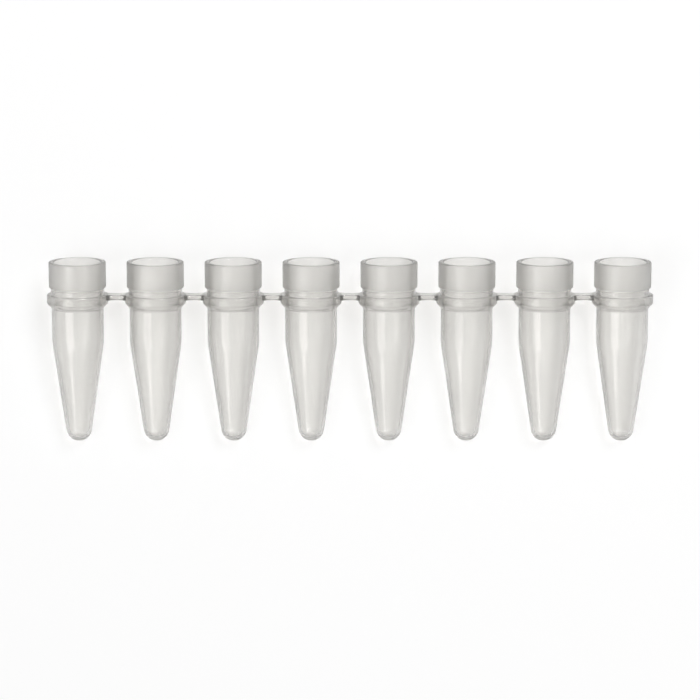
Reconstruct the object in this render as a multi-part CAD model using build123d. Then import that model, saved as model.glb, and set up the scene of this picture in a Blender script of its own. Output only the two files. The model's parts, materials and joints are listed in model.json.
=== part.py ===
from build123d import *
import os
from math import acos, atan2, cos, degrees, hypot, sin

# A strip of eight 0.2 ml tubes for thermal cycling, injection moulded in one
# piece of natural polypropylene. Eight open conical tubes stand in a row at the
# pitch of a 96-well block, joined just under their collars by short links.
#
# A tube is drawn as a half section, as (radius, height) points. Its rim is at
# height 0 and all the rest is below, so depths are measured from the rim.
# Outside radii are the bore's radius plus the wall there, so that the walls
# keep their thickness when the bore is changed.
# The finished strip is then laid on its side, as it comes to rest: mouths
# towards +Y, on the edges of the flanges and the shoulders of the tubes.
# All sizes are in millimetres.

# The row
TUBE_COUNT = 8
PITCH = 9.0

# Lengths down a tube
TUBE_LENGTH = 21.0          # rim to the very tip
COLLAR_HEIGHT = 3.0         # plain band that the skirt of a cap covers
GROOVE_HEIGHT = 0.8         # waist between the collar and the flange
FLANGE_THICKNESS = 1.0      # straight edge of the flange
FLANGE_TAPER_HEIGHT = 0.6   # sloping underside that centres the tube in its block
SHOULDER_DEPTH = 9.5        # where the straight body ends and the cone starts

# Bore, and the wall around it
BORE_RADIUS = 2.7           # straight bore that takes the plug of a cap
COLLAR_WALL = 0.6
GROOVE_WALL = 0.38
FLANGE_WIDTH = 0.85         # from the bore to the edge of the flange
BODY_WALL = 0.3             # thin wall of the body and the cone, for fast heating

# Round tip at the end of the cone
TIP_RADIUS = 1.5
GATE_RADIUS = 0.5           # flat spot at the very tip, where the gate is cut off
TIP_WALL = 0.4              # floor of the tube, over the gate

# Links between neighbouring tubes, flush with the tops of the flanges
LINK_THICKNESS = 0.6
LINK_ROOT_WIDTH = 2.6
LINK_NECK_WIDTH = 1.6

# Radii and depths that follow from the sizes above
COLLAR_RADIUS = BORE_RADIUS + COLLAR_WALL
GROOVE_RADIUS = BORE_RADIUS + GROOVE_WALL
FLANGE_RADIUS = BORE_RADIUS + FLANGE_WIDTH
BODY_RADIUS = BORE_RADIUS + BODY_WALL
FLANGE_TOP_DEPTH = COLLAR_HEIGHT + GROOVE_HEIGHT
FLANGE_EDGE_DEPTH = FLANGE_TOP_DEPTH + FLANGE_THICKNESS
BODY_TOP_DEPTH = FLANGE_EDGE_DEPTH + FLANGE_TAPER_HEIGHT


def cone_and_tip(top_radius, tip_radius, bottom_depth):
    """Outline from the shoulder to the axis: a cone, the round tip it runs tangent into, a flat."""
    end_angle = acos(GATE_RADIUS / tip_radius)
    centre = tip_radius * sin(end_angle) - bottom_depth
    drop = -SHOULDER_DEPTH - centre
    cone_angle = acos(tip_radius / hypot(top_radius, drop)) - atan2(drop, top_radius)

    def on_tip(angle):
        return (tip_radius * cos(angle), centre - tip_radius * sin(angle))

    cone = Line((top_radius, -SHOULDER_DEPTH), on_tip(cone_angle))
    tip = ThreePointArc(on_tip(cone_angle), on_tip((cone_angle + end_angle) / 2), on_tip(end_angle))
    return cone + tip + Line(on_tip(end_angle), (0, -bottom_depth))


def turned(upper, lower):
    """Solid turned about the tube's axis from the two parts of its half section."""
    outline = upper + lower + Line(lower @ 1, (0, 0))
    return revolve(Plane.XZ * make_face(outline), Axis.Z)


def tube_outside():
    """Collar, groove, flange, body, cone and tip of one tube, as a full solid."""
    upper = Polyline(
        (0, 0),
        (COLLAR_RADIUS, 0),
        (COLLAR_RADIUS, -COLLAR_HEIGHT),
        (GROOVE_RADIUS, -COLLAR_HEIGHT),
        (GROOVE_RADIUS, -FLANGE_TOP_DEPTH),
        (FLANGE_RADIUS, -FLANGE_TOP_DEPTH),
        (FLANGE_RADIUS, -FLANGE_EDGE_DEPTH),
        (BODY_RADIUS, -BODY_TOP_DEPTH),
        (BODY_RADIUS, -SHOULDER_DEPTH),
    )
    return turned(upper, cone_and_tip(BODY_RADIUS, TIP_RADIUS, TUBE_LENGTH))


def tube_inside():
    """The space inside one tube, from its mouth to its floor."""
    upper = Polyline((0, 0), (BORE_RADIUS, 0), (BORE_RADIUS, -SHOULDER_DEPTH))
    lower = cone_and_tip(BORE_RADIUS, TIP_RADIUS - BODY_WALL, TUBE_LENGTH - TIP_WALL)
    return turned(upper, lower)


def link():
    """One link, waisted in plan, halfway between two tubes and let into both flanges."""
    reach = PITCH / 2 - (FLANGE_RADIUS + BORE_RADIUS) / 2
    root, neck = LINK_ROOT_WIDTH / 2, LINK_NECK_WIDTH / 2
    outline = ThreePointArc((-reach, root), (0, neck), (reach, root))
    outline += Line((reach, root), (reach, -root))
    outline += ThreePointArc((reach, -root), (0, -neck), (-reach, -root))
    outline += Line((-reach, -root), (-reach, root))
    return Pos(0, 0, -FLANGE_TOP_DEPTH) * extrude(make_face(outline), -LINK_THICKNESS)


def row(shape, count):
    """Copies of a shape at the pitch of the strip, centred on X."""
    first = -PITCH * (count - 1) / 2
    return [Pos(first + PITCH * i, 0, 0) * shape for i in range(count)]


def upright_strip():
    """The whole moulding, with its tubes upright."""
    walls = row(tube_outside(), TUBE_COUNT) + row(link(), TUBE_COUNT - 1)
    return walls[0].fuse(*walls[1:]).cut(*row(tube_inside(), TUBE_COUNT))


def laid_down(strip):
    """The strip turned onto its side, resting on its flange edges and shoulders."""
    rise = FLANGE_RADIUS - BODY_RADIUS
    run = SHOULDER_DEPTH - FLANGE_EDGE_DEPTH
    lying = Rot(degrees(atan2(rise, run)) - 90, 0, 0) * strip
    box = lying.bounding_box()
    return Pos(-box.center().X, -box.center().Y, -box.min.Z) * lying


os.makedirs("parts", exist_ok=True)
export_step(laid_down(upright_strip()), "parts/tube_strip.step")
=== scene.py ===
import json
from math import acos, atan2, cos, hypot, radians, sin, sqrt

import bmesh
import bpy
from bpy.props import FloatProperty, FloatVectorProperty, IntProperty, PointerProperty
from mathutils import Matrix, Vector


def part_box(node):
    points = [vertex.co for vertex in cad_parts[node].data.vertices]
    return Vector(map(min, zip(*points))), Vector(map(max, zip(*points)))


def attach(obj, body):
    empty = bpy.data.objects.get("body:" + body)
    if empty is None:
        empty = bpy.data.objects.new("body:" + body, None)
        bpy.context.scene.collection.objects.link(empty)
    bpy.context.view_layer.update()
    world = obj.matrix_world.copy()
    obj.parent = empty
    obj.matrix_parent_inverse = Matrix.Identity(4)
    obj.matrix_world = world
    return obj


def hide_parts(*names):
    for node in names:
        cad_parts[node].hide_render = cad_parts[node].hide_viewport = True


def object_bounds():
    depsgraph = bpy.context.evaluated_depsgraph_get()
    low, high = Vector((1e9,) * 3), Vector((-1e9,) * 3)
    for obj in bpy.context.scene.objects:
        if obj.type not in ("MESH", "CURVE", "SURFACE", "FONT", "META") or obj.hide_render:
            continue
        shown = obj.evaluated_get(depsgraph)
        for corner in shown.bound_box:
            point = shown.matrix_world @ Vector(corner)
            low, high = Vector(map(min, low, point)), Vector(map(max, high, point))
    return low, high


bl_info = {
    "name": "Tube strip",
    "version": (1, 0, 0),
    "blender": (4, 5, 0),
    "location": "3D Viewport > Sidebar > Tube strip",
    "description": "Moulds a strip of eight small conical tubes and sets the stage it lies on",
    "category": "Add Mesh",
}

MM = 0.001

# How finely the moulding is drawn
TIP_RINGS = 12                  # rings of faces round the outside of a tip
FLOOR_RINGS = 10                # rings of faces round the floor inside it
ROUND_SEGMENTS = 4              # faces across a rounded edge
ROOT_SEGMENTS = 3               # faces across the small roundings of the waist's corners and the links
WIDE_SEGMENTS = 5               # faces across the lead-in and the soft shoulders
SAME_PLACE = 0.001 * MM         # points closer together than this are one point
SMOOTH_ANGLE = radians(40)      # edges flatter than this are shaded smooth

# The sockets of a Mix node that mixes colours
MIX_SHARE, MIX_FIRST, MIX_SECOND, MIXED = 0, 6, 7, 2

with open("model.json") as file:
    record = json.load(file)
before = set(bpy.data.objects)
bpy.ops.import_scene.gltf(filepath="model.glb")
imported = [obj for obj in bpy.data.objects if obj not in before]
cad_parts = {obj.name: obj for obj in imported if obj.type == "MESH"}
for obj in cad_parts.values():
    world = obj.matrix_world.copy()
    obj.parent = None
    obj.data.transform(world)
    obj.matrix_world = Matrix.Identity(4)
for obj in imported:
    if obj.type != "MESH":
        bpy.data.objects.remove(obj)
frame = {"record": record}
CAD_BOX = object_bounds()

# What the frame says of the tubes: where each mouth is, which way it faces and how wide the walls are.
MOUNTS = {mount["name"]: mount for mount in frame["record"]["mounts"]}
MOUTHS = [MOUNTS[name] for name in sorted(MOUNTS) if name.startswith("mouth")]
SEAT = MOUNTS["block_seat_1"]
OUT = Vector(MOUTHS[0]["axis"]).normalized()
BORE_RADIUS = MOUTHS[0]["dims"]["r_mm"] * MM
BODY_RADIUS = SEAT["dims"]["r_mm"] * MM
SHOULDER_DEPTH = MOUTHS[0]["dims"]["length_mm"] * MM
BODY_TOP_DEPTH = SHOULDER_DEPTH - SEAT["dims"]["length_mm"] * MM
RIMS = [Vector(mouth["pos_m"]) + OUT * SHOULDER_DEPTH / 2 for mouth in MOUTHS]
PITCH = (RIMS[-1] - RIMS[0]).length / (len(RIMS) - 1)
FLANGE_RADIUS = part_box("tube_strip")[1].x - RIMS[-1].x


# ---------------------------------------------------------------------------
# What a user may change
# ---------------------------------------------------------------------------

def size(name, description, default_mm):
    """A length property whose default is given in millimetres."""
    return FloatProperty(name=name, description=description, default=default_mm * MM,
                         min=0.0, precision=5, unit="LENGTH")


class TubeSizes(bpy.types.PropertyGroup):
    """One tube, measured down from its rim"""
    length: size("Length", "Rim to the very tip", 21.0)
    collar_radius: size("Collar radius", "Outside of the band that a cap's skirt covers", 3.3)
    collar_height: size("Collar height", "Height of that band", 3.0)
    groove_radius: size("Groove radius", "Outside of the waist between collar and flange", 3.08)
    groove_height: size("Groove height", "Height of the waist", 0.8)
    flange_thickness: size("Flange thickness", "Straight edge of the flange", 1.0)
    tip_radius: size("Tip radius", "Outside of the round tip", 1.5)
    tip_wall: size("Tip wall", "Floor of the tube, over the gate", 0.4)
    gate_radius: size("Gate radius", "Flat spot at the very tip, where the gate is cut off", 0.5)
    gate_depth: size("Gate depth", "How far the cut gate lies below that flat", 0.1)
    lead_in: size("Lead-in", "Rounding of the mouth's inner edge", 0.26)
    rounding: size("Rounding", "Rounding of the rim, the collar and the flange", 0.13)
    segments: IntProperty(name="Segments", description="Faces round a tube", default=96, min=12)


class LinkSizes(bpy.types.PropertyGroup):
    """The links between neighbouring tubes"""
    thickness: size("Thickness", "Thickness of a link", 0.6)
    root_width: size("Root width", "Width where a link runs into the flanges", 2.6)
    neck_width: size("Neck width", "Width halfway between two tubes", 1.6)
    sink: size("Sink", "How far the top of a link lies below the tops of the flanges", 0.02)
    rounding: size("Rounding", "Rounding of a link's long edges", 0.08)
    columns: IntProperty(name="Columns", description="Faces along a link", default=14, min=2)


class Finish(bpy.types.PropertyGroup):
    """The plastic and the stage"""
    plastic: FloatVectorProperty(name="Plastic", description="Colour of the plastic's own haze",
                                 subtype="COLOR", default=(0.95, 0.945, 0.935), min=0.0, max=1.0)
    cloudy: FloatVectorProperty(name="Cloudy", description="Colour of the haze in its thickest streaks",
                                subtype="COLOR", default=(0.9, 0.895, 0.885), min=0.0, max=1.0)
    # Painted shade: this darker haze colour goes where a wall is seen edge on, partly for its longer path,
    # partly to paint dark outlines.
    edge_haze_and_shade: FloatVectorProperty(name="Edge on",
                                 description="Colour of the haze where a wall is seen edge on",
                                 subtype="COLOR", default=(0.66, 0.655, 0.64), min=0.0, max=1.0)
    depth_tint: FloatVectorProperty(name="Depth tint", description="What light keeps inside the plastic",
                                    subtype="COLOR", default=(0.52, 0.505, 0.47), min=0.0, max=1.0)
    cloudiness: FloatProperty(name="Cloudiness", description="How fast a thick wall darkens, per metre",
                              default=400.0, min=0.0)
    floor: FloatVectorProperty(name="Floor", description="Colour of the floor",
                               subtype="COLOR", default=(0.86, 0.86, 0.86), min=0.0, max=1.0)


# ---------------------------------------------------------------------------
# Handling meshes
# ---------------------------------------------------------------------------

def hold(*pieces):
    """Selects these objects alone, the first of them active."""
    bpy.ops.object.select_all(action="DESELECT")
    for piece in pieces:
        piece.select_set(True)
    bpy.context.view_layer.objects.active = pieces[0]


def take_edges(piece, wanted):
    """In edit mode, selects the edges for which wanted(edge) is true, and no others."""
    bpy.ops.mesh.select_all(action="DESELECT")
    mesh = bmesh.from_edit_mesh(piece.data)
    for edge in mesh.edges:
        if wanted(edge):
            edge.select = True
    mesh.select_flush(True)
    bmesh.update_edit_mesh(piece.data)


def take_points(piece, wanted):
    """In edit mode, selects the points for which wanted(place) is true, and no others."""
    bpy.ops.mesh.select_all(action="DESELECT")
    mesh = bmesh.from_edit_mesh(piece.data)
    for point in mesh.verts:
        point.select = wanted(point.co)
    mesh.select_flush(True)
    bmesh.update_edit_mesh(piece.data)


def apply_all(piece):
    """Applies the piece's modifiers from the top down."""
    hold(piece)
    for modifier in list(piece.modifiers):
        bpy.ops.object.modifier_apply(modifier=modifier.name)


def merge_slivers(piece):
    """Merges the points that a union may leave closer together than a micrometre."""
    hold(piece)
    bpy.ops.object.mode_set(mode="EDIT")
    bpy.ops.mesh.select_all(action="SELECT")
    bpy.ops.mesh.remove_doubles(threshold=SAME_PLACE)
    bpy.ops.mesh.dissolve_degenerate(threshold=SAME_PLACE)
    bpy.ops.object.mode_set(mode="OBJECT")


# ---------------------------------------------------------------------------
# The tubes
# ---------------------------------------------------------------------------

def round_tip(top_radius, tip_radius, flat_radius, bottom_depth, rings):
    """(radius, depth) rings from the flat at the bottom, round the tip, to where the cone leaves it."""
    end_angle = acos(flat_radius / tip_radius)
    centre = bottom_depth - tip_radius * sin(end_angle)
    drop = centre - SHOULDER_DEPTH
    cone_angle = acos(tip_radius / hypot(top_radius, drop)) - atan2(drop, top_radius)
    step = (end_angle - cone_angle) / rings
    angles = [end_angle - step * i for i in range(rings + 1)]
    return [(tip_radius * cos(a), centre + tip_radius * sin(a)) for a in angles]


def outside_rings(tube):
    """Rings of the outer wall, from the gate's flat up to the rim."""
    flange_top = tube.collar_height + tube.groove_height
    return round_tip(BODY_RADIUS, tube.tip_radius, tube.gate_radius, tube.length, TIP_RINGS) + [
        (BODY_RADIUS, SHOULDER_DEPTH),
        (BODY_RADIUS, BODY_TOP_DEPTH),
        (FLANGE_RADIUS, flange_top + tube.flange_thickness),
        (FLANGE_RADIUS, flange_top),
        (tube.groove_radius, flange_top),
        (tube.groove_radius, tube.collar_height),
        (tube.collar_radius, tube.collar_height),
        (tube.collar_radius, 0.0),
    ]


def inside_rings(tube):
    """Rings of the inner wall, from the rim down to the flat of the floor."""
    tip_radius = tube.tip_radius - (BODY_RADIUS - BORE_RADIUS)
    floor_depth = tube.length - tube.tip_wall
    tip = round_tip(BORE_RADIUS, tip_radius, tube.gate_radius, floor_depth, FLOOR_RINGS)
    return [(BORE_RADIUS, 0.0), (BORE_RADIUS, SHOULDER_DEPTH)] + tip[::-1]


def draw_out(rings):
    """Extrudes the selected ring through each of these (radius, depth) rings in turn."""
    radius, depth = rings[0]
    for next_radius, next_depth in rings[1:]:
        bpy.ops.mesh.extrude_region_move(TRANSFORM_OT_translate={"value": (0, 0, depth - next_depth)})
        grow = next_radius / radius
        bpy.ops.transform.resize(value=(grow, grow, 1.0))
        radius, depth = next_radius, next_depth


def round_off(piece, ring, width, segments):
    """Bevels the edges of one (radius, depth) ring."""
    radius, depth = ring

    def on_ring(edge):
        return all(abs(hypot(v.co.x, v.co.y) - radius) < SAME_PLACE and abs(v.co.z + depth) < SAME_PLACE
                   for v in edge.verts)

    take_edges(piece, on_ring)
    bpy.ops.mesh.bevel(offset=width, segments=segments, profile=0.5, affect="EDGES")


def cut_gate(tube):
    """Sinks the middle of the selected flat a little, as a gate leaves it when it is cut off."""
    land, wall, torn = (tube.gate_radius * share for share in (0.3, 0.12, 0.25))
    bpy.ops.mesh.inset(thickness=land)
    bpy.ops.mesh.inset(thickness=wall, depth=tube.gate_depth)
    bpy.ops.mesh.inset(thickness=torn, depth=-tube.gate_depth * 0.4)
    bpy.ops.mesh.poke()


def turn_tube(tube):
    """One tube, upright, with its rim at height 0: from the gate up, over the rim and down inside."""
    outside, inside = outside_rings(tube), inside_rings(tube)
    bpy.ops.mesh.primitive_circle_add(vertices=tube.segments, radius=outside[0][0],
                                      fill_type="NGON", location=(0, 0, -outside[0][1]))
    piece = bpy.context.object
    bpy.ops.object.transform_apply()
    bpy.ops.object.mode_set(mode="EDIT")
    bpy.ops.mesh.select_mode(type="EDGE")
    bpy.ops.mesh.select_all(action="SELECT")
    cut_gate(tube)
    take_edges(piece, lambda edge: edge.is_boundary)
    draw_out(outside + inside)

    # The floor of the tube is closed, with one ring between its edge and its middle.
    bpy.ops.mesh.edge_face_add()
    bpy.ops.mesh.inset(thickness=tube.gate_radius * 0.4)
    bpy.ops.mesh.poke()

    flange_top = tube.collar_height + tube.groove_height
    flange_edge = flange_top + tube.flange_thickness
    edge = (tube.rounding, ROUND_SEGMENTS)
    root = (tube.rounding * 0.6, ROOT_SEGMENTS)
    shoulder = (tube.rounding * 5, WIDE_SEGMENTS)
    round_off(piece, (BORE_RADIUS, 0.0), tube.lead_in, WIDE_SEGMENTS)
    round_off(piece, (tube.collar_radius, 0.0), *edge)
    round_off(piece, (tube.collar_radius, tube.collar_height), *edge)
    round_off(piece, (tube.groove_radius, tube.collar_height), *root)
    round_off(piece, (tube.groove_radius, flange_top), *root)
    round_off(piece, (FLANGE_RADIUS, flange_top), *edge)
    round_off(piece, (FLANGE_RADIUS, flange_edge), *edge)
    round_off(piece, (BODY_RADIUS, BODY_TOP_DEPTH), *edge)
    round_off(piece, (BODY_RADIUS, SHOULDER_DEPTH), *shoulder)
    round_off(piece, (BORE_RADIUS, SHOULDER_DEPTH), *shoulder)

    bpy.ops.mesh.select_all(action="SELECT")
    bpy.ops.mesh.normals_make_consistent(inside=False)
    bpy.ops.object.mode_set(mode="OBJECT")
    return piece


def copies_in_row(piece, places):
    """The piece and its copies at these places along X, joined into one object."""
    row = [piece]
    piece.location.x = places[0]
    for place in places[1:]:
        hold(piece)
        bpy.ops.object.duplicate()
        bpy.context.object.location.x = place
        row.append(bpy.context.object)
    hold(*row)
    bpy.ops.object.transform_apply()
    bpy.ops.object.join()
    return piece


class STRIP_OT_turn_tubes(bpy.types.Operator):
    """Turn one tube and copy it to all eight places of the row"""
    bl_idname = "strip.turn_tubes"
    bl_label = "Turn tubes"
    bl_options = {"REGISTER", "UNDO"}

    def execute(self, context):
        bpy.ops.object.select_all(action="DESELECT")
        tube = turn_tube(context.scene.strip_tube)
        tubes = copies_in_row(tube, [rim.x for rim in RIMS])
        tubes.name = tubes.data.name = "tubes"
        return {"FINISHED"}


# ---------------------------------------------------------------------------
# The links
# ---------------------------------------------------------------------------

def cut_link(link, flange_top):
    """One link, waisted in plan, its top a hair below the flanges' tops, reaching into both flanges."""
    reach = PITCH / 2 - (FLANGE_RADIUS + BORE_RADIUS) / 2
    bpy.ops.mesh.primitive_grid_add(x_subdivisions=link.columns, y_subdivisions=1, size=1.0,
                                    location=(0, 0, -flange_top - link.sink))
    piece = bpy.context.object
    piece.scale = (2 * reach, link.root_width, 1.0)
    bpy.ops.object.transform_apply()

    # Each column of points is drawn in to an arc that is narrowest halfway between the tubes.
    waist = (link.root_width - link.neck_width) / 2
    arc_radius = (reach ** 2 + waist ** 2) / (2 * waist)
    bpy.ops.object.mode_set(mode="EDIT")
    for column in range(link.columns + 1):
        x = reach * (2 * column / link.columns - 1)
        half_width = link.neck_width / 2 + arc_radius - sqrt(arc_radius ** 2 - x ** 2)
        take_points(piece, lambda place: abs(place.x - x) < SAME_PLACE)
        bpy.ops.transform.resize(value=(1.0, 2 * half_width / link.root_width, 1.0))
    bpy.ops.object.mode_set(mode="OBJECT")

    sheet = piece.modifiers.new("thickness", "SOLIDIFY")
    sheet.thickness, sheet.offset = link.thickness, -1.0
    edges = piece.modifiers.new("rounding", "BEVEL")
    edges.width, edges.segments, edges.angle_limit = link.rounding, ROOT_SEGMENTS, radians(60)
    apply_all(piece)
    return piece


class STRIP_OT_cut_links(bpy.types.Operator):
    """Cut one link and copy it between each two tubes"""
    bl_idname = "strip.cut_links"
    bl_label = "Cut links"
    bl_options = {"REGISTER", "UNDO"}

    def execute(self, context):
        bpy.ops.object.select_all(action="DESELECT")
        tube = context.scene.strip_tube
        link = cut_link(context.scene.strip_link, tube.collar_height + tube.groove_height)
        links = copies_in_row(link, [(a.x + b.x) / 2 for a, b in zip(RIMS, RIMS[1:])])
        links.name = links.data.name = "links"
        return {"FINISHED"}


# ---------------------------------------------------------------------------
# The plastic
# ---------------------------------------------------------------------------

def group_of(name, inputs, outputs):
    """A new shader node group with these float inputs {name: default} and outputs {name: kind}."""
    group = bpy.data.node_groups.new(name, "ShaderNodeTree")
    for socket, default in inputs.items():
        made = group.interface.new_socket(socket, in_out="INPUT", socket_type="NodeSocketFloat")
        made.default_value = default
    for socket, kind in outputs.items():
        group.interface.new_socket(socket, in_out="OUTPUT", socket_type=kind)
    return group


def math_node(nodes, links, operation, *values):
    """The output of a math node that takes these values, each an output of another node or a number."""
    node = nodes.new("ShaderNodeMath")
    node.operation = operation
    for socket, value in zip(node.inputs, values):
        if isinstance(value, (int, float)):
            socket.default_value = value
        else:
            links.new(value, socket)
    return node.outputs["Value"]


def step_node(nodes, links, value, start, end, before=0.0, after=1.0):
    """A smooth step from before to after as value goes from start to end."""
    node = nodes.new("ShaderNodeMapRange")
    node.interpolation_type = "SMOOTHSTEP"
    given = {"Value": value, "From Min": start, "From Max": end, "To Min": before, "To Max": after}
    for name, what in given.items():
        if isinstance(what, (int, float)):
            node.inputs[name].default_value = what
        else:
            links.new(what, node.inputs[name])
    return node.outputs["Result"]


def colour_node(nodes, links, share, first, second):
    """A colour that goes from first to second as share goes from 0 to 1."""
    node = nodes.new("ShaderNodeMix")
    node.data_type = "RGBA"
    links.new(share, node.inputs[MIX_SHARE])
    for socket, colour in ((node.inputs[MIX_FIRST], first), (node.inputs[MIX_SECOND], second)):
        if isinstance(colour, bpy.types.NodeSocket):
            links.new(colour, socket)
        else:
            socket.default_value = (*colour, 1.0)
    return node.outputs[MIXED]


def dot_node(nodes, links, place, direction):
    """How far a place lies along a direction of length 1."""
    node = nodes.new("ShaderNodeVectorMath")
    node.operation = "DOT_PRODUCT"
    node.inputs[1].default_value = direction
    links.new(place, node.inputs[0])
    return node.outputs["Value"]


def tube_places():
    """Where a point lies on its tube: its depth below the rim, and its distance from the tube's axis."""
    group = group_of("tube places", {"Rim height": 0.0, "Axis height": 0.0, "Pitch": 0.009},
                     {"Depth": "NodeSocketFloat", "Radius": "NodeSocketFloat"})
    nodes, links = group.nodes, group.links
    given = nodes.new("NodeGroupInput").outputs
    result = nodes.new("NodeGroupOutput").inputs
    place = nodes.new("ShaderNodeTexCoord").outputs["Object"]
    along = dot_node(nodes, links, place, OUT)
    links.new(math_node(nodes, links, "SUBTRACT", given["Rim height"], along), result["Depth"])

    apart = nodes.new("ShaderNodeSeparateXYZ")
    links.new(place, apart.inputs["Vector"])
    half = math_node(nodes, links, "MULTIPLY", given["Pitch"], 0.5)
    # X is 0 halfway between two tubes, so it swings from 0 at a link to half a pitch at an axis.
    from_link = math_node(nodes, links, "PINGPONG", apart.outputs["X"], half)
    sideways = math_node(nodes, links, "SUBTRACT", half, from_link)
    lift = dot_node(nodes, links, place, (0.0, -OUT.z, OUT.y))
    upward = math_node(nodes, links, "SUBTRACT", lift, given["Axis height"])
    squares = math_node(nodes, links, "MULTIPLY", sideways, sideways)
    total = math_node(nodes, links, "MULTIPLY_ADD", upward, upward, squares)
    links.new(math_node(nodes, links, "SQRT", total), result["Radius"])
    return group


def moulded_surface():
    """Haze in streaks along each tube, a matte collar, a cloudy gate, and the mould's faint drag marks."""
    group = group_of("moulded surface",
                     {"Depth": 0.0, "Radius": 0.0,
                      "Clear": 0.1, "Hazy": 0.22, "Collar": 0.36, "Gate": 0.5,
                      "Collar height": 0.003, "Bore radius": 0.0027, "Length": 0.021,
                      "Streak scale": 700.0, "Mark scale": 3500.0},
                     {"Haze": "NodeSocketFloat",
                      "Roughness": "NodeSocketFloat",
                      "Height": "NodeSocketFloat"})
    nodes, links = group.nodes, group.links
    given = nodes.new("NodeGroupInput").outputs
    result = nodes.new("NodeGroupOutput").inputs
    place = nodes.new("ShaderNodeTexCoord")
    stretch = nodes.new("ShaderNodeMapping")
    stretch.inputs["Scale"].default_value = (1.0, 0.08, 1.0)
    links.new(place.outputs["Object"], stretch.inputs["Vector"])

    def stretched_noise(scale, detail):
        """Noise drawn out along the tubes."""
        noise = nodes.new("ShaderNodeTexNoise")
        noise.inputs["Detail"].default_value = detail
        links.new(stretch.outputs["Vector"], noise.inputs["Vector"])
        links.new(scale, noise.inputs["Scale"])
        return noise.outputs["Fac"]

    streaks = stretched_noise(given["Streak scale"], 3.0)
    low, high = 0.3, 0.7
    haze = step_node(nodes, links, streaks, low, high)
    body = step_node(nodes, links, streaks, low, high, given["Clear"], given["Hazy"])

    # The matte band fades out just below the collar, and within the wall, so the bore stays polished.
    collar_end = math_node(nodes, links, "ADD", given["Collar height"], 0.2 * MM)
    above_end = step_node(nodes, links, given["Depth"], given["Collar height"], collar_end, 1.0, 0.0)
    inner = math_node(nodes, links, "ADD", given["Bore radius"], 0.2 * MM)
    outer = math_node(nodes, links, "ADD", given["Bore radius"], 0.4 * MM)
    outside = step_node(nodes, links, given["Radius"], inner, outer)
    on_collar = math_node(nodes, links, "MULTIPLY", above_end, outside)
    with_collar = step_node(nodes, links, on_collar, 0.0, 1.0, body, given["Collar"])

    # The last 0.9 mm of the tip clouds over towards the gate.
    gate_start = math_node(nodes, links, "SUBTRACT", given["Length"], 0.9 * MM)
    to_gate = (nodes, links, given["Depth"], gate_start, given["Length"])
    links.new(step_node(*to_gate, with_collar, given["Gate"]), result["Roughness"])
    links.new(step_node(*to_gate, haze, 1.0), result["Haze"])
    links.new(stretched_noise(given["Mark scale"], 1.0), result["Height"])
    return group


def clear_polypropylene(tube, finish):
    """Thin natural polypropylene: clear with a slight haze, greyer the more of it light crosses, and darker
    where a wall is seen edge on, partly for its longer path and partly as painted shade for dark outlines.
    """
    material = bpy.data.materials.new("clear_polypropylene")
    material.use_nodes = True
    nodes, links = material.node_tree.nodes, material.node_tree.links
    plastic = nodes["Principled BSDF"]
    plastic.inputs["IOR"].default_value = 1.49
    plastic.inputs["Transmission Weight"].default_value = 0.9

    places = nodes.new("ShaderNodeGroup")
    places.node_tree = tube_places()
    places.inputs["Rim height"].default_value = RIMS[0].dot(OUT)
    places.inputs["Axis height"].default_value = RIMS[0].dot(Vector((0.0, -OUT.z, OUT.y)))
    places.inputs["Pitch"].default_value = PITCH
    surface = nodes.new("ShaderNodeGroup")
    surface.node_tree = moulded_surface()
    surface.inputs["Collar height"].default_value = tube.collar_height
    surface.inputs["Bore radius"].default_value = BORE_RADIUS
    surface.inputs["Length"].default_value = tube.length
    for name in ("Depth", "Radius"):
        links.new(places.outputs[name], surface.inputs[name])
    links.new(surface.outputs["Roughness"], plastic.inputs["Roughness"])
    bump = nodes.new("ShaderNodeBump")
    bump.inputs["Distance"].default_value = 0.004 * MM
    bump.inputs["Strength"].default_value = 0.3
    links.new(surface.outputs["Height"], bump.inputs["Height"])
    links.new(bump.outputs["Normal"], plastic.inputs["Normal"])

    # A wall seen edge on is tinted darker: partly for the longer path through its haze, and partly as painted
    # shade standing in for the dark outlines of clear plastic.
    edge_haze_and_shade = nodes.new("ShaderNodeLayerWeight")
    edge_haze_and_shade.inputs["Blend"].default_value = 0.25
    haze = colour_node(nodes, links, surface.outputs["Haze"], finish.plastic, finish.cloudy)
    tint = colour_node(nodes, links, edge_haze_and_shade.outputs["Facing"], haze, finish.edge_haze_and_shade)
    links.new(tint, plastic.inputs["Base Color"])

    # Lamps shine through the thin walls, so that the strip has the light shadow of clear plastic.
    ray = nodes.new("ShaderNodeLightPath")
    through = nodes.new("ShaderNodeBsdfTransparent")
    through.inputs["Color"].default_value = (0.92, 0.92, 0.92, 1.0)
    mix = nodes.new("ShaderNodeMixShader")
    links.new(ray.outputs["Is Shadow Ray"], mix.inputs["Fac"])
    links.new(plastic.outputs["BSDF"], mix.inputs[1])
    links.new(through.outputs["BSDF"], mix.inputs[2])
    links.new(mix.outputs["Shader"], nodes["Material Output"].inputs["Surface"])

    inside = nodes.new("ShaderNodeVolumeAbsorption")
    inside.inputs["Color"].default_value = (*finish.depth_tint, 1.0)
    inside.inputs["Density"].default_value = finish.cloudiness
    links.new(inside.outputs["Volume"], nodes["Material Output"].inputs["Volume"])
    return material


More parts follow.
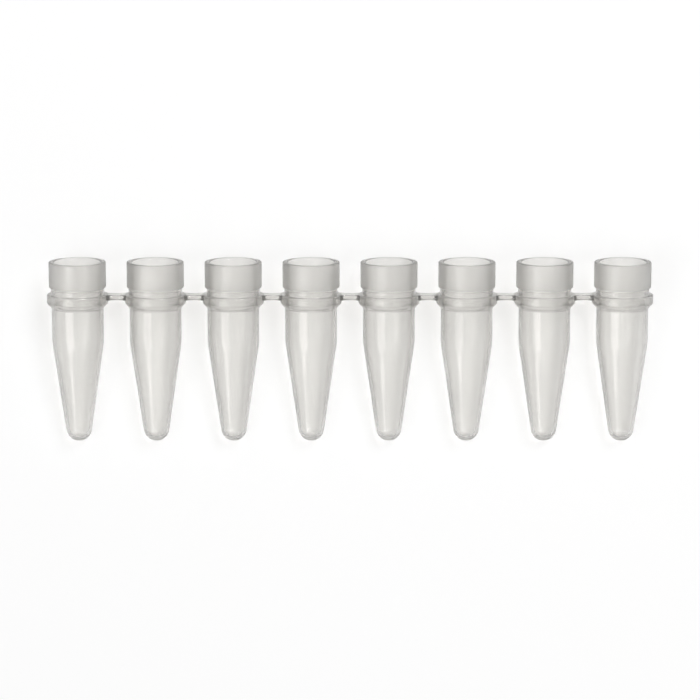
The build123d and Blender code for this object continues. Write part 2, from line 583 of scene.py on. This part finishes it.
class STRIP_OT_finish_moulding(bpy.types.Operator):
    """Join tubes and links into one moulding, lay it on its side and give it its plastic"""
    bl_idname = "strip.finish_moulding"
    bl_label = "Finish moulding"
    bl_options = {"REGISTER", "UNDO"}

    def execute(self, context):
        strip, links = bpy.data.objects["tubes"], bpy.data.objects["links"]
        joining = strip.modifiers.new("links", "BOOLEAN")
        joining.operation, joining.solver, joining.object = "UNION", "EXACT", links
        apply_all(strip)
        bpy.data.objects.remove(links)
        strip.name = strip.data.name = "moulded_strip"
        merge_slivers(strip)

        strip.rotation_euler.x = atan2(-OUT.y, OUT.z)
        strip.location = (0.0, RIMS[0].y, RIMS[0].z)
        hold(strip)
        bpy.ops.object.transform_apply()
        bpy.ops.object.shade_smooth_by_angle(angle=SMOOTH_ANGLE)
        normals = strip.modifiers.new("normals", "WEIGHTED_NORMAL")
        normals.keep_sharp = True
        apply_all(strip)

        strip.data.materials.clear()
        strip.data.materials.append(clear_polypropylene(context.scene.strip_tube, context.scene.strip_finish))
        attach(strip, "root")
        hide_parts("tube_strip")
        return {"FINISHED"}


# ---------------------------------------------------------------------------
# The stage
# ---------------------------------------------------------------------------

def seen_rays(nodes, links):
    """Two outputs, each 1 for its rays: those of the camera, and those off or through what shines."""
    ray = nodes.new("ShaderNodeLightPath")
    glossy, refracted = ray.outputs["Is Glossy Ray"], ray.outputs["Is Transmission Ray"]
    return ray.outputs["Is Camera Ray"], math_node(nodes, links, "MAXIMUM", glossy, refracted)


def lay_floor(finish):
    """A wide pale floor, which shows white wherever nothing shades it, near the strip and far from it."""
    bpy.ops.mesh.primitive_circle_add(vertices=64, radius=3.0, fill_type="NGON")
    floor = bpy.context.object
    floor.name = "floor"
    material = bpy.data.materials.new("pale_floor")
    material.use_nodes = True
    nodes, links = material.node_tree.nodes, material.node_tree.links
    paint = nodes["Principled BSDF"]
    paint.inputs["Base Color"].default_value = (*finish.floor, 1.0)
    paint.inputs["Roughness"].default_value = 0.9
    paint.inputs["Specular IOR Level"].default_value = 0.0

    place = nodes.new("ShaderNodeTexCoord")
    distance = nodes.new("ShaderNodeVectorMath")
    distance.operation = "LENGTH"
    links.new(place.outputs["Object"], distance.inputs[0])
    # Less lamplight falls far out, so the glow there is stronger. Paint and glow add up to about 1.
    near, far = 0.05, 1.2
    near_share, far_share = 1.0 - finish.floor[0], 0.67
    share = step_node(nodes, links, distance.outputs["Value"], near, far, near_share, far_share)

    camera, through = seen_rays(nodes, links)
    seen = math_node(nodes, links, "MAXIMUM", camera, through)
    glow = nodes.new("ShaderNodeEmission")
    links.new(math_node(nodes, links, "MULTIPLY", seen, share), glow.inputs["Strength"])
    both = nodes.new("ShaderNodeAddShader")
    links.new(paint.outputs["BSDF"], both.inputs[0])
    links.new(glow.outputs["Emission"], both.inputs[1])
    links.new(both.outputs["Shader"], nodes["Material Output"].inputs["Surface"])
    floor.data.materials.append(material)


def light_room():
    """A room that is brightest overhead, with a white horizon for what is seen straight or in the strip."""
    world = bpy.data.worlds.new("room")
    bpy.context.scene.world = world
    world.use_nodes = True
    nodes, links = world.node_tree.nodes, world.node_tree.links
    sky = nodes["Background"]
    direction = nodes.new("ShaderNodeTexCoord")
    parts = nodes.new("ShaderNodeSeparateXYZ")
    ramp = nodes.new("ShaderNodeValToRGB")
    ramp.color_ramp.elements[0].color = (0.12, 0.12, 0.12, 1.0)
    ramp.color_ramp.elements[1].color = (0.45, 0.45, 0.45, 1.0)
    ramp.color_ramp.elements[1].position = 0.7
    links.new(direction.outputs["Generated"], parts.inputs["Vector"])
    links.new(parts.outputs["Z"], ramp.inputs["Fac"])

    horizon = step_node(nodes, links, parts.outputs["Z"], 0.05, 0.3, 1.0, 0.0)
    camera, through = seen_rays(nodes, links)
    low = math_node(nodes, links, "MULTIPLY", through, horizon)
    white = math_node(nodes, links, "MAXIMUM", camera, low)
    colour = colour_node(nodes, links, white, ramp.outputs["Color"], (1.0, 1.0, 1.0))
    links.new(colour, sky.inputs["Color"])


def add_lamp(name, place, aim, width, watts):
    """A square soft box that shines from place at aim."""
    bpy.ops.object.light_add(type="AREA", location=place)
    lamp = bpy.context.object
    lamp.name = name
    lamp.data.size, lamp.data.energy = width, watts
    lamp.rotation_euler = (aim - Vector(place)).to_track_quat("-Z", "Y").to_euler()


def place_camera(aim):
    """A long lens almost straight above, leaning to the mouths' side so that it looks a little into them."""
    lean = radians(4)
    distance = 0.45
    toward = Vector((0.0, sin(lean), cos(lean)))
    bpy.ops.object.camera_add(location=aim + toward * distance)
    camera = bpy.context.object
    camera.rotation_euler = (-lean, 0.0, 0.0)
    camera.data.lens = 200.0
    camera.data.clip_start = 0.01
    bpy.context.scene.camera = camera


class STRIP_OT_set_stage(bpy.types.Operator):
    """Lay the floor, light the room and place the camera"""
    bl_idname = "strip.set_stage"
    bl_label = "Set stage"
    bl_options = {"REGISTER", "UNDO"}

    def execute(self, context):
        low, high = CAD_BOX
        aim = (low + high) / 2
        lay_floor(context.scene.strip_finish)
        light_room()
        add_lamp("key_light", (0.35, 0.45, 0.8), aim, width=0.4, watts=5.7)
        add_lamp("fill_light", (-0.5, -0.3, 0.7), aim, width=0.5, watts=1.6)
        place_camera(aim)
        context.scene.view_settings.view_transform = "Standard"
        return {"FINISHED"}


# ---------------------------------------------------------------------------
# The add-on
# ---------------------------------------------------------------------------

STEPS = (STRIP_OT_turn_tubes, STRIP_OT_cut_links, STRIP_OT_finish_moulding, STRIP_OT_set_stage)


class STRIP_PT_sidebar(bpy.types.Panel):
    """Lists the sizes, the colours and the steps that make the strip"""
    bl_idname = "STRIP_PT_sidebar"
    bl_label = "Tube strip"
    bl_space_type = "VIEW_3D"
    bl_region_type = "UI"
    bl_category = "Tube strip"

    def draw(self, context):
        for group in (context.scene.strip_tube, context.scene.strip_link, context.scene.strip_finish):
            box = self.layout.box()
            for name in group.__annotations__:
                box.prop(group, name)
        for step in STEPS:
            self.layout.operator(step.bl_idname)


CLASSES = (TubeSizes, LinkSizes, Finish, *STEPS, STRIP_PT_sidebar)


def register():
    for kind in CLASSES:
        bpy.utils.register_class(kind)
    bpy.types.Scene.strip_tube = PointerProperty(type=TubeSizes)
    bpy.types.Scene.strip_link = PointerProperty(type=LinkSizes)
    bpy.types.Scene.strip_finish = PointerProperty(type=Finish)


def unregister():
    del bpy.types.Scene.strip_finish
    del bpy.types.Scene.strip_link
    del bpy.types.Scene.strip_tube
    for kind in reversed(CLASSES):
        bpy.utils.unregister_class(kind)


def main():
    register()
    bpy.ops.strip.turn_tubes()
    bpy.ops.strip.cut_links()
    bpy.ops.strip.finish_moulding()
    bpy.ops.strip.set_stage()


if __name__ == "__main__":
    main()
